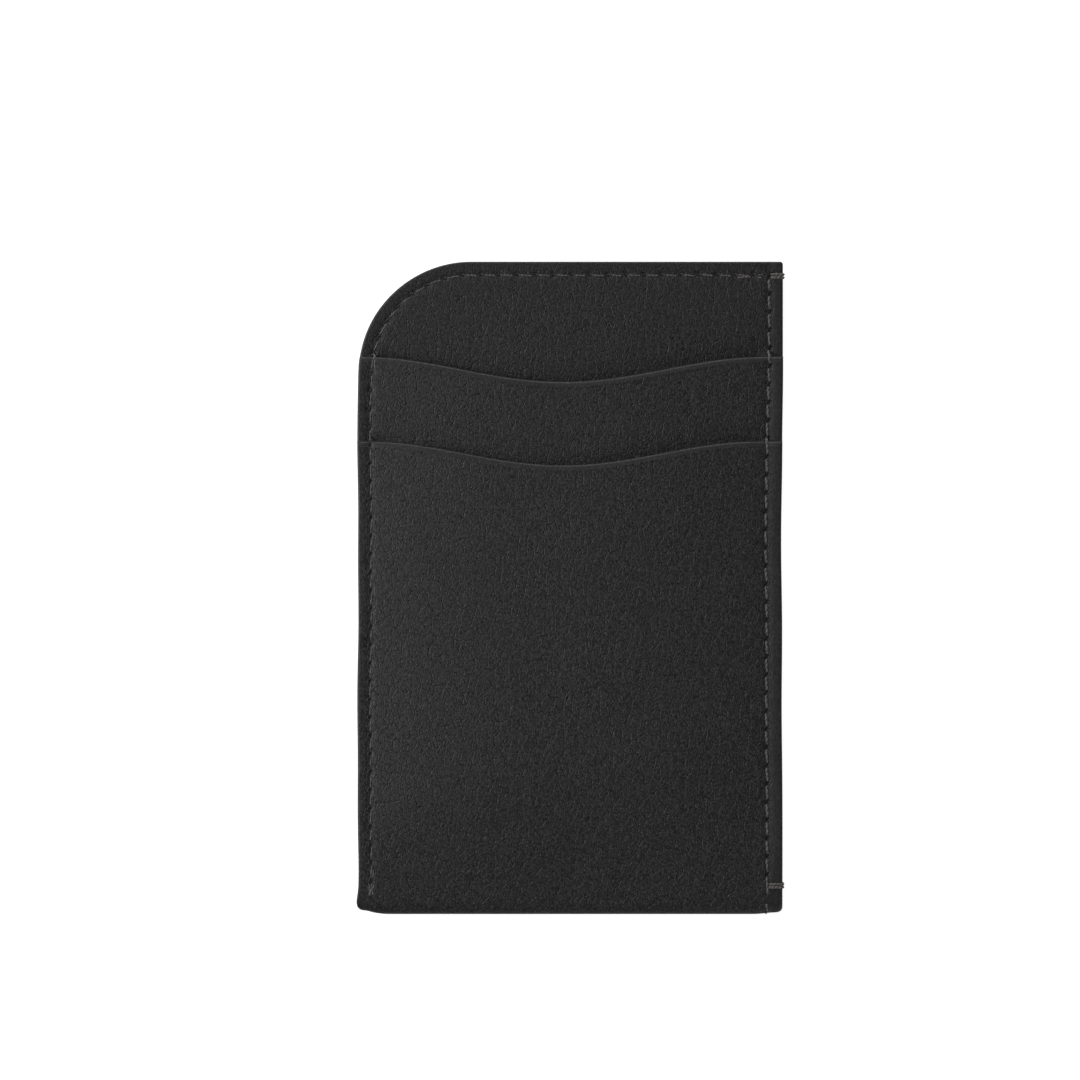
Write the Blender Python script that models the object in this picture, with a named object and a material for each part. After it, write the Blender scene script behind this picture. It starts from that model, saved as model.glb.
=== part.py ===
"""A flat leather card holder with two stepped front pockets and a centre compartment.

It lies on its back with the front face up: +X is to the right, +Y is towards the top edge and +Z comes
out of the front face. The origin is on the back face, at the middle of the bounding box.
All lengths are in metres.
"""

import math

import bmesh
import bpy

# Overall sizes.
WIDTH = 0.065
HEIGHT = 0.100
CORNER_RADIUS = 0.0173
FOLD_DEPTH = 0.004

# Plies and the room between them.
SHELL_THICKNESS = 0.0008
PANEL_THICKNESS = 0.0007
LINING_THICKNESS = 0.0002
PLY_GAP = 0.0003
POCKET_RISE = 0.0005
BULGE_RUN = 0.018

# Pocket mouths: drop from the top edge at the sides, dip in the middle, straight shoulder.
UPPER_MOUTH_DROP = 0.0146
UPPER_MOUTH_DIP = 0.00385
UPPER_MOUTH_SHOULDER = 0.0014
LOWER_MOUTH_DROP = 0.0276
LOWER_MOUTH_DIP = 0.00366
LOWER_MOUTH_SHOULDER = 0.0024
MOUTH_CENTRE_SHIFT = -0.0011

# Hidden ends of the inner plies.
FOLD_CLEARANCE = 0.0004
POCKET_BASE_HEIGHT = 0.0120
BASE_SEAM_INSET = 0.0020
LINING_TOP_SETBACK = 0.0015

# Sewing.
SEAM_INSET = 0.0021
SEAM_START_HEIGHT = 0.0024
SEAM_CORNER_CLEARANCE = 0.0012
THREAD_RADIUS = 0.0002
THREAD_CLEARANCE = 0.00015
THREAD_SINK = 0.00022
STEP_RUN = 0.0010
TACK_PITCH = 0.0010
TACK_REACH = 0.0014
TACK_EDGE_SINK = 0.00002
TACK_TURN = 0.0004
LOWER_TACK_HEIGHT = 0.0046

# How finely the curved shapes are divided.
CORNER_STEPS = 8
FLAT_COLUMNS = 10
LEAF_ROWS = 8
FOLD_STEPS = 8
SEAM_STEP = 0.003

# Heights of the plies' undersides at the seams, counted up from the back face.
BACK_LINING_BASE = SHELL_THICKNESS + PLY_GAP
PANEL_LINING_BASE = BACK_LINING_BASE + LINING_THICKNESS + PLY_GAP
TALL_PANEL_BASE = PANEL_LINING_BASE + LINING_THICKNESS + PLY_GAP
POCKET_LINING_BASE = TALL_PANEL_BASE + PANEL_THICKNESS + PLY_GAP
POCKET_PANEL_BASE = POCKET_LINING_BASE + LINING_THICKNESS + PLY_GAP
FRONT_LEAF_BASE = POCKET_PANEL_BASE + PANEL_THICKNESS + PLY_GAP
STACK = FRONT_LEAF_BASE + SHELL_THICKNESS

# How many pockets lie under each ply, which is how often it is raised in the middle.
TALL_PANEL_RAISES = 1
POCKET_PANEL_RAISES = 2
FRONT_LEAF_RAISES = 3

TOP = HEIGHT / 2
BOTTOM = -HEIGHT / 2
RIGHT = WIDTH / 2
LEFT = -WIDTH / 2
FOLD_LINE = BOTTOM + FOLD_DEPTH


def clear_scene():
    for obj in list(bpy.data.objects):
        bpy.data.objects.remove(obj, do_unlink=True)


def make_material(name, colour, roughness):
    material = bpy.data.materials.new(name)
    material.use_nodes = True
    shader = material.node_tree.nodes["Principled BSDF"]
    shader.inputs["Base Color"].default_value = (*colour, 1.0)
    shader.inputs["Roughness"].default_value = roughness
    shader.inputs["Metallic"].default_value = 0.0
    return material


def leather(name):
    return make_material(name, (0.028, 0.027, 0.028), 0.55)


def lining(name):
    return make_material(name, (0.020, 0.019, 0.020), 0.90)


def thread(name):
    return make_material(name, (0.045, 0.040, 0.041), 0.60)


def smooth(value):
    """Zero below 0, one above 1, and level at both ends."""
    inside = min(max(value, 0.0), 1.0)
    return inside * inside * (3 - 2 * inside)


def bulge(x, y):
    """How far a ply stands up in the middle of its pocket, from 0 at the seams to 1."""
    across = max(0.0, 1 - (x / (RIGHT - SEAM_INSET)) ** 2) ** 2
    from_fold = smooth((y - FOLD_LINE) / BULGE_RUN)
    from_top = smooth((TOP - SEAM_INSET - y) / BULGE_RUN)
    return across * from_fold * from_top


def corner_line(x):
    """The top outline of the tall plies: level, with the round corner on the left."""
    inward = LEFT + CORNER_RADIUS - x
    if inward <= 0:
        return TOP
    return TOP - CORNER_RADIUS + math.sqrt(max(0.0, CORNER_RADIUS**2 - inward**2))


def mouth_line(x, drop, dip, shoulder):
    """A pocket's mouth: level at the sides and a wave down in the middle."""
    share = (x - MOUTH_CENTRE_SHIFT) / (RIGHT - shoulder)
    wave = 0.5 * (1 + math.cos(math.pi * min(max(share, -1.0), 1.0)))
    return min(TOP - drop - dip * wave, corner_line(x))


def upper_mouth(x):
    return mouth_line(x, UPPER_MOUTH_DROP, UPPER_MOUTH_DIP, UPPER_MOUTH_SHOULDER)


def lower_mouth(x):
    return mouth_line(x, LOWER_MOUTH_DROP, LOWER_MOUTH_DIP, LOWER_MOUTH_SHOULDER)


def column_positions():
    """The columns' x: at equal angles round the corner, then at equal steps to the right edge."""
    turn = [math.pi / 2 * i / CORNER_STEPS for i in range(CORNER_STEPS)]
    corner = [LEFT + CORNER_RADIUS * (1 - math.cos(angle)) for angle in turn]
    start = LEFT + CORNER_RADIUS
    flat = [start + (RIGHT - start) * i / FLAT_COLUMNS for i in range(FLAT_COLUMNS + 1)]
    return corner + flat


def grid_object(name, rows, place, thickness, offset, material):
    """A grid of columns and rows, placed point by point, given a thickness by a Solidify modifier."""
    columns = column_positions()
    count = len(columns) - 1
    bm = bmesh.new()
    bmesh.ops.create_grid(bm, x_segments=count, y_segments=rows, size=0.5)
    for vert in bm.verts:
        column = round((vert.co.x + 0.5) * count)
        row = round((vert.co.y + 0.5) * rows)
        vert.co = place(columns[column], row)
    mesh = bpy.data.meshes.new(name)
    bm.to_mesh(mesh)
    bm.free()
    mesh.shade_smooth()
    mesh.materials.append(material)
    obj = bpy.data.objects.new(name, mesh)
    bpy.context.scene.collection.objects.link(obj)
    solidify = obj.modifiers.new("thickness", "SOLIDIFY")
    solidify.thickness = thickness
    solidify.offset = offset
    solidify.use_even_offset = True
    return obj


def ply_bottom(base, thickness):
    """How low an inner ply can reach into the bottom fold and stay clear of the strip round it."""
    middle = STACK / 2
    from_middle = max(abs(base - middle), abs(base + thickness - middle))
    share = from_middle / (middle - SHELL_THICKNESS)
    reach = (FOLD_DEPTH - SHELL_THICKNESS) * math.sqrt(max(0.0, 1 - share**2))
    return FOLD_LINE - reach + FOLD_CLEARANCE


def make_leaf(name, base, raises, bottom, top_line, thickness, material):
    """One flat ply from a level bottom edge up to top_line."""

    def place(x, row):
        y = bottom + (top_line(x) - bottom) * row / LEAF_ROWS
        return (x, y, POCKET_RISE * raises * bulge(x, y))

    obj = grid_object(name, LEAF_ROWS, place, thickness, 1.0, material)
    obj.location.z = base
    return obj


def fold_point(angle, sink):
    """A point on the bottom fold, from the back (angle 0) round to the front (pi)."""
    y = FOLD_LINE - (FOLD_DEPTH - sink) * math.sin(angle)
    z = STACK / 2 - (STACK / 2 - sink) * math.cos(angle)
    return y, z


def front_leaf_height(x, y):
    return STACK + POCKET_RISE * FRONT_LEAF_RAISES * bulge(x, y)


def make_outer_wrap():
    """Back leaf, bottom fold and lower pocket, in one strip described by its outer surface."""
    rows = LEAF_ROWS + FOLD_STEPS + LEAF_ROWS

    def place(x, row):
        if row < LEAF_ROWS:
            y = corner_line(x) + (FOLD_LINE - corner_line(x)) * row / LEAF_ROWS
            return (x, y, 0.0)
        if row <= LEAF_ROWS + FOLD_STEPS:
            y, z = fold_point(math.pi * (row - LEAF_ROWS) / FOLD_STEPS, 0.0)
            return (x, y, z)
        share = (row - LEAF_ROWS - FOLD_STEPS) / LEAF_ROWS
        y = FOLD_LINE + (lower_mouth(x) - FOLD_LINE) * share
        return (x, y, front_leaf_height(x, y))

    return grid_object("outer_wrap", rows, place, SHELL_THICKNESS, -1.0, leather("outer_wrap"))


def front_height(x, y):
    """The front face's height, with each mouth's step drawn out above the edge for the thread."""
    lift = POCKET_RISE * bulge(x, y)
    panel = TALL_PANEL_BASE + PANEL_THICKNESS + TALL_PANEL_RAISES * lift
    pocket = POCKET_PANEL_BASE + PANEL_THICKNESS + POCKET_PANEL_RAISES * lift
    front = front_leaf_height(x, y)
    if y < FOLD_LINE:
        share = (FOLD_LINE - y) / FOLD_DEPTH
        front = STACK / 2 * (1 + math.sqrt(max(0.0, 1 - share**2)))
    below_upper = smooth((upper_mouth(x) + 2 * STEP_RUN - y) / STEP_RUN)
    below_lower = smooth((lower_mouth(x) + 2 * STEP_RUN - y) / STEP_RUN)
    return panel + (pocket - panel) * below_upper + (front - pocket) * below_lower


def back_height(y):
    if y >= FOLD_LINE:
        return 0.0
    share = (FOLD_LINE - y) / FOLD_DEPTH
    return STACK / 2 * (1 - math.sqrt(max(0.0, 1 - share**2)))


def straight(start, end):
    """Points from start to end, about SEAM_STEP apart, without the last."""
    count = max(1, round(math.dist(start, end) / SEAM_STEP))
    return [
        tuple(a + (b - a) * i / count for a, b in zip(start, end)) for i in range(count)
    ]


def edge_seam_line():
    """The seam up the left edge, round the corner and along the top, as x and y."""
    x = LEFT + SEAM_INSET
    y = TOP - SEAM_INSET
    centre = (LEFT + CORNER_RADIUS, TOP - CORNER_RADIUS)
    radius = CORNER_RADIUS - SEAM_INSET
    points = straight((x, BOTTOM + SEAM_START_HEIGHT), (x, centre[1]))
    for i in range(CORNER_STEPS):
        angle = math.pi - math.pi / 2 * i / CORNER_STEPS
        points.append((centre[0] + radius * math.cos(angle), centre[1] + radius * math.sin(angle)))
    end = (RIGHT - SEAM_INSET - SEAM_CORNER_CLEARANCE, y)
    return points + straight((centre[0], y), end) + [end]


def with_mouth_points(line):
    """The line with a point added at the start and the end of each mouth's step."""
    dense = [line[0]]
    for (x0, y0), (x1, y1) in zip(line, line[1:]):
        added = []
        for mouth in (lower_mouth(x0), upper_mouth(x0)):
            for offset in (STEP_RUN, 1.5 * STEP_RUN, 2 * STEP_RUN):
                if min(y0, y1) < mouth + offset < max(y0, y1):
                    share = (mouth + offset - y0) / (y1 - y0)
                    added.append((share, x0 + (x1 - x0) * share, mouth + offset))
        dense += [(x, y) for share, x, y in sorted(added)]
        dense.append((x1, y1))
    return dense


def needle_path():
    return [(x, y, front_height(x, y) - THREAD_SINK) for x, y in with_mouth_points(edge_seam_line())]


def bobbin_path():
    return [(x, y, back_height(y) + THREAD_SINK) for x, y in edge_seam_line()]


def right_seam_path():
    """Down the front, round the fold and up the back, just inside the right edge."""
    x = RIGHT - SEAM_INSET
    top = TOP - SEAM_INSET - SEAM_CORNER_CLEARANCE
    front = with_mouth_points(straight((x, top), (x, FOLD_LINE)))
    points = [(x, y, front_height(x, y) - THREAD_SINK) for x, y in front]
    for i in range(FOLD_STEPS + 1):
        y, z = fold_point(math.pi * (1 - i / FOLD_STEPS), THREAD_SINK)
        points.append((x, y, z))
    back = straight((x, FOLD_LINE), (x, top)) + [(x, top)]
    return points + [(x, y, THREAD_SINK) for x, y in back[1:]]


def base_seam_path():
    """Across the foot of the upper pocket, sunk into its panel, between the side seams."""
    y = BOTTOM + POCKET_BASE_HEIGHT + BASE_SEAM_INSET
    top = POCKET_PANEL_BASE + PANEL_THICKNESS - THREAD_SINK
    reach = RIGHT - 2 * SEAM_INSET
    points = straight((-reach, y), (reach, y)) + [(reach, y)]
    return [(x, y, top + POCKET_RISE * POCKET_PANEL_RAISES * bulge(x, y)) for x, y in points]


def tack_path(middle):
    """Twice round the right edge, from the front face over the edge to the back and again."""
    inner = RIGHT - TACK_REACH
    edge = RIGHT - TACK_EDGE_SINK
    points = []
    for side in (1, -1):
        y = middle + side * TACK_PITCH / 2
        high = front_height(inner, y) - THREAD_SINK
        around = [
            (inner, y, high),
            (edge - TACK_TURN, y, high),
            (edge, y, high - TACK_TURN),
            (edge, y, THREAD_SINK + TACK_TURN),
            (edge - TACK_TURN, y, THREAD_SINK),
            (inner, y, THREAD_SINK),
        ]
        points += around[::side]
    return points


def tube(name, points, radius):
    """A round tube along the points, as a curve with a bevel and filled caps."""
    curve = bpy.data.curves.new(name, "CURVE")
    curve.dimensions = "3D"
    curve.bevel_depth = radius
    curve.bevel_resolution = 1
    curve.use_fill_caps = True
    spline = curve.splines.new("POLY")
    spline.points.add(len(points) - 1)
    for point, place in zip(spline.points, points):
        point.co = (*place, 1.0)
    obj = bpy.data.objects.new(name, curve)
    bpy.context.scene.collection.objects.link(obj)
    return obj


def make_thread(name, points):
    obj = tube(name, points, THREAD_RADIUS)
    obj.data.materials.append(thread(name))
    return obj


def lengthened(points, extra):
    """The same points with both ends carried on by extra."""

    def beyond(end, inner):
        length = math.dist(end, inner)
        return tuple(a + (a - b) / length * extra for a, b in zip(end, inner))

    return [beyond(points[0], points[1])] + points + [beyond(points[-1], points[-2])]


def make_groove(name, points):
    """The cutter for a thread's groove: the thread's own path with the clearance added."""
    radius = THREAD_RADIUS + THREAD_CLEARANCE
    curve_object = tube(name, lengthened(points, THREAD_CLEARANCE), radius)
    bpy.context.view_layer.update()
    graph = bpy.context.evaluated_depsgraph_get()
    mesh = bpy.data.meshes.new_from_object(curve_object.evaluated_get(graph))
    bpy.data.objects.remove(curve_object, do_unlink=True)
    bm = bmesh.new()
    bm.from_mesh(mesh)
    bmesh.ops.remove_doubles(bm, verts=bm.verts, dist=1e-7)
    bmesh.ops.recalc_face_normals(bm, faces=bm.faces)
    bm.to_mesh(mesh)
    bm.free()
    cutter = bpy.data.objects.new(name, mesh)
    bpy.context.scene.collection.objects.link(cutter)
    cutter.hide_render = True
    cutter.display_type = "WIRE"
    return cutter


def cut(obj, cutters):
    for cutter in cutters:
        boolean = obj.modifiers.new(cutter.name, "BOOLEAN")
        boolean.operation = "DIFFERENCE"
        boolean.solver = "EXACT"
        boolean.object = cutter


def make_plies():
    """The six plies, from the back to the front, by name."""
    plies = {
        "outer_wrap": make_outer_wrap(),
        "back_lining": make_leaf(
            "back_lining", BACK_LINING_BASE, 0,
            ply_bottom(BACK_LINING_BASE, LINING_THICKNESS), corner_line,
            LINING_THICKNESS, lining("back_lining"),
        ),
        "tall_panel_lining": make_leaf(
            "tall_panel_lining", PANEL_LINING_BASE, TALL_PANEL_RAISES,
            ply_bottom(PANEL_LINING_BASE, LINING_THICKNESS), corner_line,
            LINING_THICKNESS, lining("tall_panel_lining"),
        ),
        "tall_panel": make_leaf(
            "tall_panel", TALL_PANEL_BASE, TALL_PANEL_RAISES,
            ply_bottom(TALL_PANEL_BASE, PANEL_THICKNESS), corner_line,
            PANEL_THICKNESS, leather("tall_panel"),
        ),
        "upper_pocket_lining": make_leaf(
            "upper_pocket_lining", POCKET_LINING_BASE, POCKET_PANEL_RAISES,
            BOTTOM + POCKET_BASE_HEIGHT, lambda x: upper_mouth(x) - LINING_TOP_SETBACK,
            LINING_THICKNESS, lining("upper_pocket_lining"),
        ),
        "upper_pocket_panel": make_leaf(
            "upper_pocket_panel", POCKET_PANEL_BASE, POCKET_PANEL_RAISES,
            ply_bottom(POCKET_PANEL_BASE, PANEL_THICKNESS), upper_mouth,
            PANEL_THICKNESS, leather("upper_pocket_panel"),
        ),
    }
    return plies


def make_threads():
    """The six threads, and the cutter for each one's groove."""
    paths = {
        "edge_seam_needle_thread": needle_path(),
        "edge_seam_bobbin_thread": bobbin_path(),
        "right_seam_thread": right_seam_path(),
        "pocket_base_seam_thread": base_seam_path(),
        "upper_tack": tack_path(TOP - SEAM_INSET),
        "lower_tack": tack_path(BOTTOM + LOWER_TACK_HEIGHT),
    }
    for name, points in paths.items():
        make_thread(name, points)
    return {name: make_groove(name + "_groove", points) for name, points in paths.items()}


def main():
    clear_scene()
    plies = make_plies()
    grooves = make_threads()
    needle = grooves["edge_seam_needle_thread"]
    bobbin = grooves["edge_seam_bobbin_thread"]
    right = grooves["right_seam_thread"]
    base = grooves["pocket_base_seam_thread"]
    tacks = [grooves["upper_tack"], grooves["lower_tack"]]
    cut(plies["outer_wrap"], [needle, bobbin, right, *tacks])
    cut(plies["back_lining"], tacks)
    cut(plies["tall_panel_lining"], tacks)
    cut(plies["tall_panel"], [needle, right, *tacks])
    cut(plies["upper_pocket_panel"], [needle, right, base, grooves["lower_tack"]])


main()
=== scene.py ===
import math

import bpy
import numpy as np
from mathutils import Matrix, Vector, noise


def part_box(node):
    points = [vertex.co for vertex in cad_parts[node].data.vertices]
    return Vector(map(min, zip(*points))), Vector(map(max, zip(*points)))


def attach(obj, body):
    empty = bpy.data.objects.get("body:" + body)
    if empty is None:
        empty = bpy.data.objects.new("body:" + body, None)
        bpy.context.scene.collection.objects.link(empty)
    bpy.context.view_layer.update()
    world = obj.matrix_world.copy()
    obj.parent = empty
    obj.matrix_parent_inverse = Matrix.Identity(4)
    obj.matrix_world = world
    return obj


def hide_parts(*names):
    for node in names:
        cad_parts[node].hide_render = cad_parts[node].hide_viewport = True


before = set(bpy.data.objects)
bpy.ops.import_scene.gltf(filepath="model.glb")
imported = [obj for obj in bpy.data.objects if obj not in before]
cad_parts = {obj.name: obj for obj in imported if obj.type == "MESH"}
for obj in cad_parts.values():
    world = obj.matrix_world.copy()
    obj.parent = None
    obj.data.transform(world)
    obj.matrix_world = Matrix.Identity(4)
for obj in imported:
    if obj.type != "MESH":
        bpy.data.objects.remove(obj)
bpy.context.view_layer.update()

mm = 0.001

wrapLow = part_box("outer_wrap")[0]
panelLow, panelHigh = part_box("tall_panel")
pocketLow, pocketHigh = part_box("upper_pocket_panel")
leftEdge, rightEdge = panelLow.x, panelHigh.x
bottomEdge, topEdge = wrapLow.y, panelHigh.y
halfWidth = (rightEdge - leftEdge) / 2

plies = {
    "shell": 0.8 * mm,
    "panel": 0.7 * mm,
    "lining": 0.2 * mm,
    "gap": 0.3 * mm,
    "close": 0.28 * mm,     # how much of a gap the sewing takes up
    "rise": 0.31 * mm,      # how far each pocket stands open in its middle
    "domeRun": 18 * mm,     # length over which it rises from the fold and falls to the top seam
    "cornerRadius": 17.3 * mm,
    "foldDepth": 4.0 * mm,
    "foldFullness": 5.5,    # 2 would be an ellipse
}
level = {"backLining": plies["shell"] + plies["gap"]}
level["panelLining"] = level["backLining"] + plies["lining"] + plies["gap"]
level["tallPanel"] = panelLow.z
level["pocketLining"] = level["tallPanel"] + plies["panel"] + plies["gap"]
level["pocketPanel"] = pocketLow.z
level["frontLeaf"] = level["pocketPanel"] + plies["panel"] + plies["gap"]
stackTop = level["frontLeaf"] + plies["shell"]
foldLine = bottomEdge + plies["foldDepth"]
cornerX = leftEdge + plies["cornerRadius"]
cornerY = topEdge - plies["cornerRadius"]

mouths = {
    "upper": {"side": pocketHigh.y + 0.04 * mm, "dip": 3.85 * mm, "halfWave": halfWidth - 1.4 * mm},
    "lower": {"side": topEdge - 27.56 * mm, "dip": 3.66 * mm, "halfWave": halfWidth - 2.4 * mm},
    "shift": -1.1 * mm,     # the waves' middle, left of the holder's
}

seams = {
    "inset": 2.1 * mm,
    "pitch": 2.78 * mm,
    "start": 2.4 * mm,      # height of the edge seam's lower end
    "cornerClear": 1.2 * mm,
    "groove": 0.03 * mm,
    "grooveWidth": 0.55 * mm,
    "pucker": 0.11 * mm,    # how much deeper the leather goes at each hole
    "puckerWidth": 0.42 * mm,
    "puckerLength": 0.5 * mm,
    "backGroove": 0.42 * mm,
    "backWidth": 0.5 * mm,
    "puff": 0.03 * mm,      # how far the leather swells just inside a seam
    "puffRun": 2.6 * mm,
    "leftMargin": 0.10 * mm,  # how far the margin outside each seam stands up
    "rightMargin": 0.08 * mm,
    "topMargin": 0.03 * mm,
    "marginRun": 1.3 * mm,  # it has risen in full this far outside the seam
    "tightRun": 1.6 * mm,   # the plies part over this distance inside it
}
pressed = {"depth": 0.22 * mm, "reach": 0.95 * mm, "fromSeam": 1.8 * mm}


def smooth(t):
    t = np.clip(t, 0.0, 1.0)
    return t * t * (3 - 2 * t)


def bump(t):
    return np.exp(-(t * t))


def cornerLine(x):
    inward = np.clip(cornerX - x, 0, plies["cornerRadius"])
    return cornerY + np.sqrt(plies["cornerRadius"] ** 2 - inward ** 2)


def mouthLine(x, name):
    mouth = mouths[name]
    share = np.clip((x - mouths["shift"]) / mouth["halfWave"], -1, 1)
    wave = 0.5 * (1 + np.cos(np.pi * share))
    return np.minimum(mouth["side"] - mouth["dip"] * wave, cornerLine(x))


def outlineDistance(x, y):
    # distance in from the nearest of the left, top and right edges
    sideways = np.minimum(x - leftEdge, rightEdge - x)
    straight = np.minimum(sideways, topEdge - y)
    radial = plies["cornerRadius"] - np.hypot(x - cornerX, y - cornerY)
    inCorner = (x < cornerX) & (y > cornerY)
    return np.where(inCorner, np.minimum(radial, rightEdge - x), straight)


def seamPlace(x, y):
    # (stitches along, distance across) of the nearest seam; across grows inward
    inset, pitch = seams["inset"], seams["pitch"]
    radius = plies["cornerRadius"] - inset
    lower = bottomEdge + seams["start"]
    straight = cornerY - lower
    arc = radius * math.pi / 2
    angle = np.arctan2(y - cornerY, cornerX - x)
    inCorner = (x < cornerX) & (y > cornerY)
    leftAcross = x - leftEdge - inset
    topAcross = topEdge - inset - y
    edgeAlong = np.where(y < cornerY, y - lower, straight + arc + x - cornerX)
    edgeAcross = np.where(y < cornerY, leftAcross, topAcross)
    edgeAlong = np.where(inCorner, straight + radius * angle, edgeAlong)
    edgeAcross = np.where(inCorner, radius - np.hypot(x - cornerX, y - cornerY), edgeAcross)
    onTop = (x >= cornerX) & (y <= cornerY)
    edgeAcross = np.where(onTop, 1.0, edgeAcross)
    rightAcross = rightEdge - inset - x
    rightAlong = topEdge - inset - y
    useRight = np.abs(rightAcross) < np.abs(edgeAcross)
    along = np.where(useRight, rightAlong, edgeAlong) / pitch
    return along, np.where(useRight, rightAcross, edgeAcross)


def dome(x, y):
    across = np.clip(1 - np.abs(x / (halfWidth - seams["inset"])) ** 2.5, 0, 1)
    fromFold = smooth((y - foldLine) / plies["domeRun"])
    fromTop = smooth((topEdge - seams["inset"] - y) / plies["domeRun"])
    return across * fromFold * fromTop


def seamRelief(x, y):
    # the leather is pulled down along a seam, most of all at each hole, and swells inside it
    along, across = seamPlace(x, y)
    nearHole = (along - np.round(along)) * seams["pitch"]
    groove = seams["groove"] * bump(across / seams["grooveWidth"])
    pucker = seams["pucker"] * bump(across / seams["puckerWidth"]) * bump(nearHole / seams["puckerLength"])
    swell = seams["puff"] * (1 - np.exp(-np.maximum(across, 0) / seams["puffRun"]))
    side = np.where(x > 0, seams["rightMargin"], seams["leftMargin"])
    # from the top's rise to the side's over 10 mm, beside the round corner
    rise = seams["topMargin"] + (side - seams["topMargin"]) * smooth((cornerY + 6 * mm - y) / (10 * mm))
    margin = rise * smooth(-across / seams["marginRun"])
    return swell + margin - groove - pucker


def crown(distance, radius):
    inside = np.clip(1 - distance / radius, 0, 1)
    return radius * (1 - np.sqrt(1 - inside ** 2))


def foldRelief(y):
    return smooth((y - foldLine + 1 * mm) / (3 * mm))


def topOf(base, thickness, raises, x, y):
    return base + thickness + plies["rise"] * raises * dome(x, y) + seamRelief(x, y) * foldRelief(y)


def foldPlace(angle, sink):
    # the fold's section, from the back (angle 0) round to the front (angle pi)
    power = 2 / plies["foldFullness"]
    turn = np.cos(angle)
    y = foldLine - (plies["foldDepth"] - sink) * np.abs(np.sin(angle)) ** power
    z = stackTop / 2 - (stackTop / 2 - sink) * np.sign(turn) * np.abs(turn) ** power
    return y, z


def mouthDip(x, y, name):
    # a ply is pressed down where the next pocket's edge lies over it
    above = y - mouthLine(x, name)
    inside = smooth((outlineDistance(x, y) - seams["inset"]) / pressed["fromSeam"])
    return pressed["depth"] * np.exp(-np.maximum(above, 0) / pressed["reach"]) * inside


def frontHeight(x, y):
    # the face a thread lies on, with each mouth's step drawn out over a thread's width
    panel = topOf(level["tallPanel"], plies["panel"], 1, x, y)
    pocket = topOf(level["pocketPanel"], plies["panel"], 2, x, y)
    front = topOf(level["frontLeaf"], plies["shell"], 3, x, y)
    step = 0.9 * mm
    overUpper = smooth((mouthLine(x, "upper") - y) / step + 1.0)
    overLower = smooth((mouthLine(x, "lower") - y) / step + 1.0)
    return panel + (pocket - panel) * overUpper + (front - pocket) * overLower


def backHeight(x, y):
    across = seamPlace(x, y)[1]
    groove = seams["backGroove"] * bump(across / seams["backWidth"])
    return groove * foldRelief(y)


settling = {
    "waist": 0.21 * mm,       # the right edge is drawn in between the tacks
    "waistAt": (57 * mm, 10 * mm),       # height of its deeper part, and half its length
    "lowerWaist": (32 * mm, 9 * mm, 0.62),  # and of its shallower part, with its share of the depth
    "flare": 0.12 * mm,       # the edge stands out a little beside the upper tack
    "flareAt": (72 * mm, 12 * mm),
    "drift": 0.28 * mm,       # the right seam runs a little further in lower down
    "leftShift": 0.10 * mm,   # the left seam runs a little further out
    "leftWave": 0.07 * mm,
    "foldCorner": 0.55 * mm,  # the fold's ends are drawn up
    "foldCornerRun": 4.6 * mm,
    "rightCorner": 0.45,      # the right end by this share
    "undulation": 0.07 * mm,
    "foldThinning": 0.13,     # share of the height lost at the fold
    "thinningRun": 12 * mm,
    "sideStart": 8 * mm,      # the sides' shifts begin this far from the middle
    "nearSeam": 1.2 * mm,     # how far a seam's own shift reaches across
    "footNotch": 0.22 * mm,   # the left edge stands out a little at the fold
    "foldRadius": 0.9 * mm,   # rounding of the outline's lower corners
    "topRadius": 0.45 * mm,   # and of its upper right corner
}


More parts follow.
